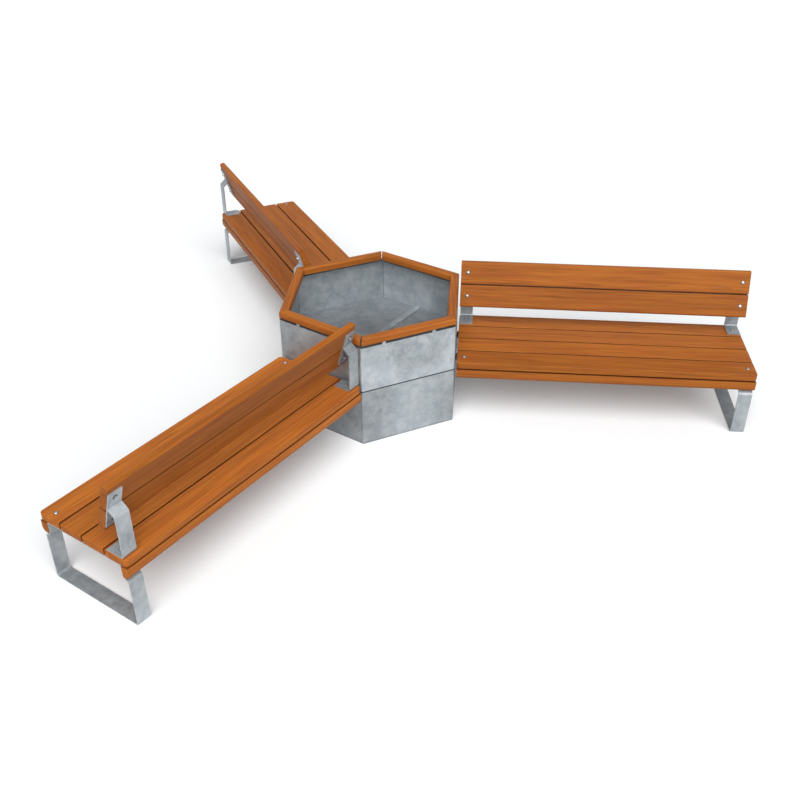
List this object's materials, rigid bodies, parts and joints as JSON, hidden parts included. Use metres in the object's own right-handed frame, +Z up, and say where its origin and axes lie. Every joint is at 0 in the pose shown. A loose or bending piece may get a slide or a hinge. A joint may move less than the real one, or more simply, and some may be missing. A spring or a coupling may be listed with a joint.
{
  "type": "modular bench",
  "caption": "Star-shaped public bench: backed wooden benches on bent flat-bar legs, radiating from a hexagonal sheet-steel planter with a wooden rim.",
  "frame": {"origin": "centre of the hexagonal planter on the ground", "axes": "+X along bench a from the planter to its outer leg, +Y towards that bench's backrest, +Z up"},
  "size_m": [4.006, 4.6258, 0.8881],
  "materials": {
    "wood": "warm orange-brown oiled softwood, satin",
    "galvanised_steel": "hot-dip galvanised, matt with a soft mottled spangle",
    "dark_steel": "galvanised, matt, under the seat and inside",
    "bolt_steel": "zinc-plated, satin",
    "seal_rubber": "matt black"
  },
  "bodies": {
    "root": {"plank_a1": "wood", "plank_a2": "wood", "plank_a3": "wood", "plank_a4": "wood", "rail_front_a": "wood", "rail_rear_a": "wood", "slat_lower_a": "wood", "slat_upper_a": "wood", "back_bracket_outer_a": "galvanised_steel", "back_bracket_inner_a": "galvanised_steel", "leg_frame_a": "galvanised_steel", "hanger_a": "dark_steel", "mid_tie_a": "dark_steel", "fixings_a": "bolt_steel", "plank_b1": "wood", "plank_b2": "wood", "plank_b3": "wood", "plank_b4": "wood", "rail_front_b": "wood", "rail_rear_b": "wood", "slat_lower_b": "wood", "slat_upper_b": "wood", "back_bracket_outer_b": "galvanised_steel", "back_bracket_inner_b": "galvanised_steel", "leg_frame_b": "galvanised_steel", "hanger_b": "dark_steel", "mid_tie_b": "dark_steel", "fixings_b": "bolt_steel", "plank_c1": "wood", "plank_c2": "wood", "plank_c3": "wood", "plank_c4": "wood", "rail_front_c": "wood", "rail_rear_c": "wood", "slat_lower_c": "wood", "slat_upper_c": "wood", "back_bracket_outer_c": "galvanised_steel", "back_bracket_inner_c": "galvanised_steel", "leg_frame_c": "galvanised_steel", "hanger_c": "dark_steel", "mid_tie_c": "dark_steel", "fixings_c": "bolt_steel", "base_half_right": "galvanised_steel", "base_half_left": "galvanised_steel", "base_seal": "seal_rubber", "tub_half_right": "galvanised_steel", "tub_half_left": "galvanised_steel", "tub_floor": "galvanised_steel", "floor_rib": "galvanised_steel", "rim_board_1": "wood", "rim_board_2": "wood", "rim_board_3": "wood", "rim_board_4": "wood", "rim_board_5": "wood", "rim_board_6": "wood", "rim_spacers": "galvanised_steel", "rim_screws": "bolt_steel", "joint_plates": "dark_steel", "joint_bolts": "bolt_steel"}
  },
  "joints": []
}
